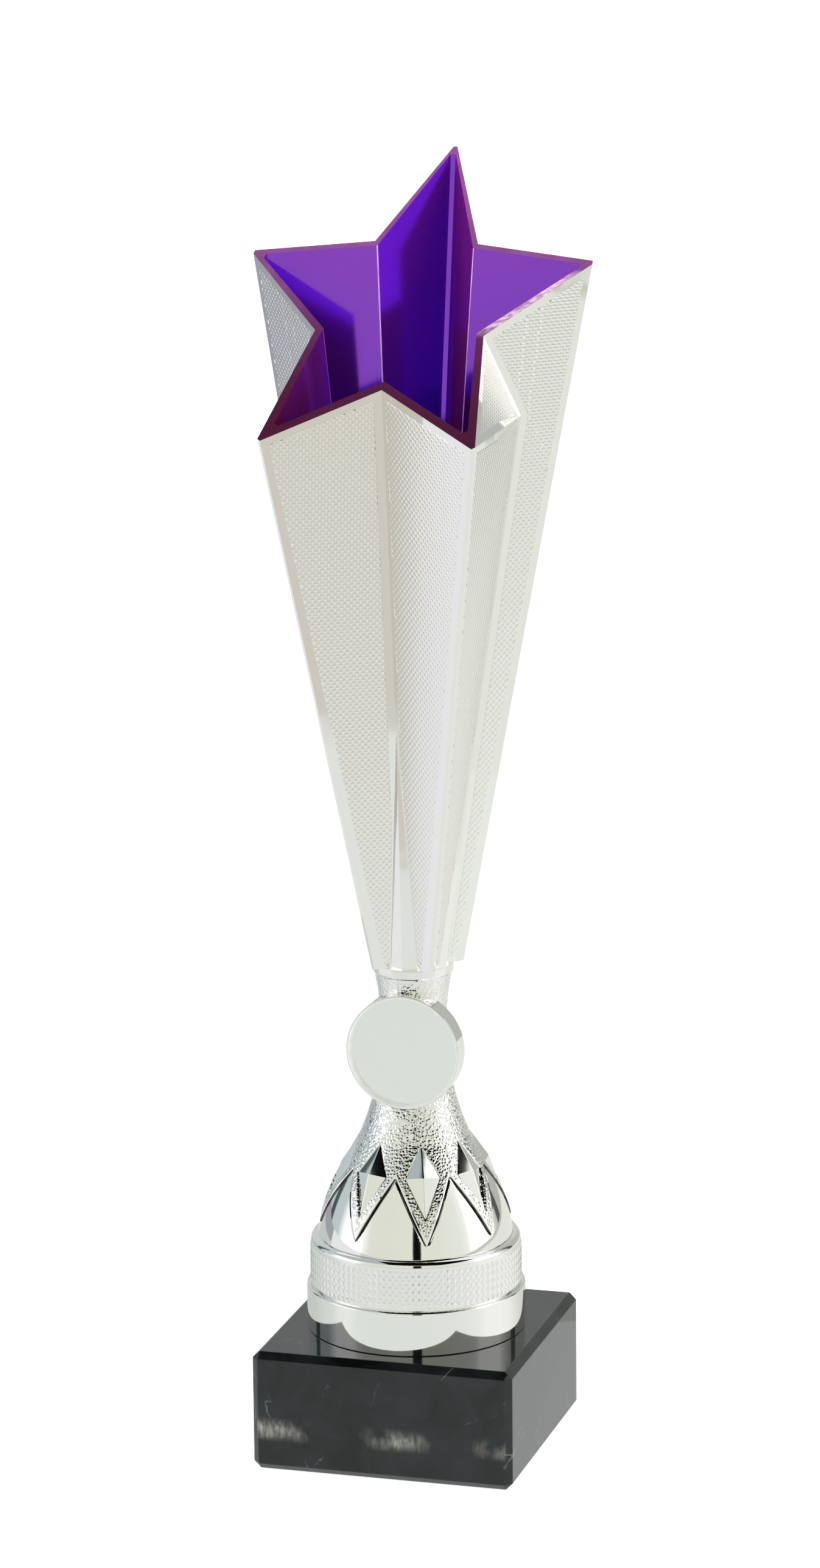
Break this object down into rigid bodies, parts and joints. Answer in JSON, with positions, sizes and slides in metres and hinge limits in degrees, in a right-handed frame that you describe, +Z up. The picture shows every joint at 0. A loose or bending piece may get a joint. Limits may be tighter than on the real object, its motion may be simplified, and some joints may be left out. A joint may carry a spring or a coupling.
{
  "type": "column trophy",
  "caption": "Award trophy with a tall star-section cup, a slim riser with an emblem recess and diamond-cut bell skirt, a banded ring and a bevelled marble block.",
  "frame": {"origin": "on the rod's axis, in the plane of the marble block's underside", "axes": "+Z up the rod, -Y to the front (the emblem side), X across"},
  "size_m": [0.0796, 0.0758, 0.2985],
  "materials": {
    "marble": "polished near-black marble with sparse pale veins",
    "metallised_plastic": "vacuum-metallised silver mirror, partly knurled or pebble-textured, purple lacquer inside the cup",
    "zinc_steel": "bright zinc plate"
  },
  "bodies": {
    "root": {"marble_base": "marble", "threaded_rod": "zinc_steel", "base_washer": "zinc_steel", "base_nut": "zinc_steel", "ring_base": "metallised_plastic", "riser": "metallised_plastic", "star_cup": "metallised_plastic", "cup_washer": "zinc_steel", "cup_nut": "zinc_steel"}
  },
  "joints": []
}
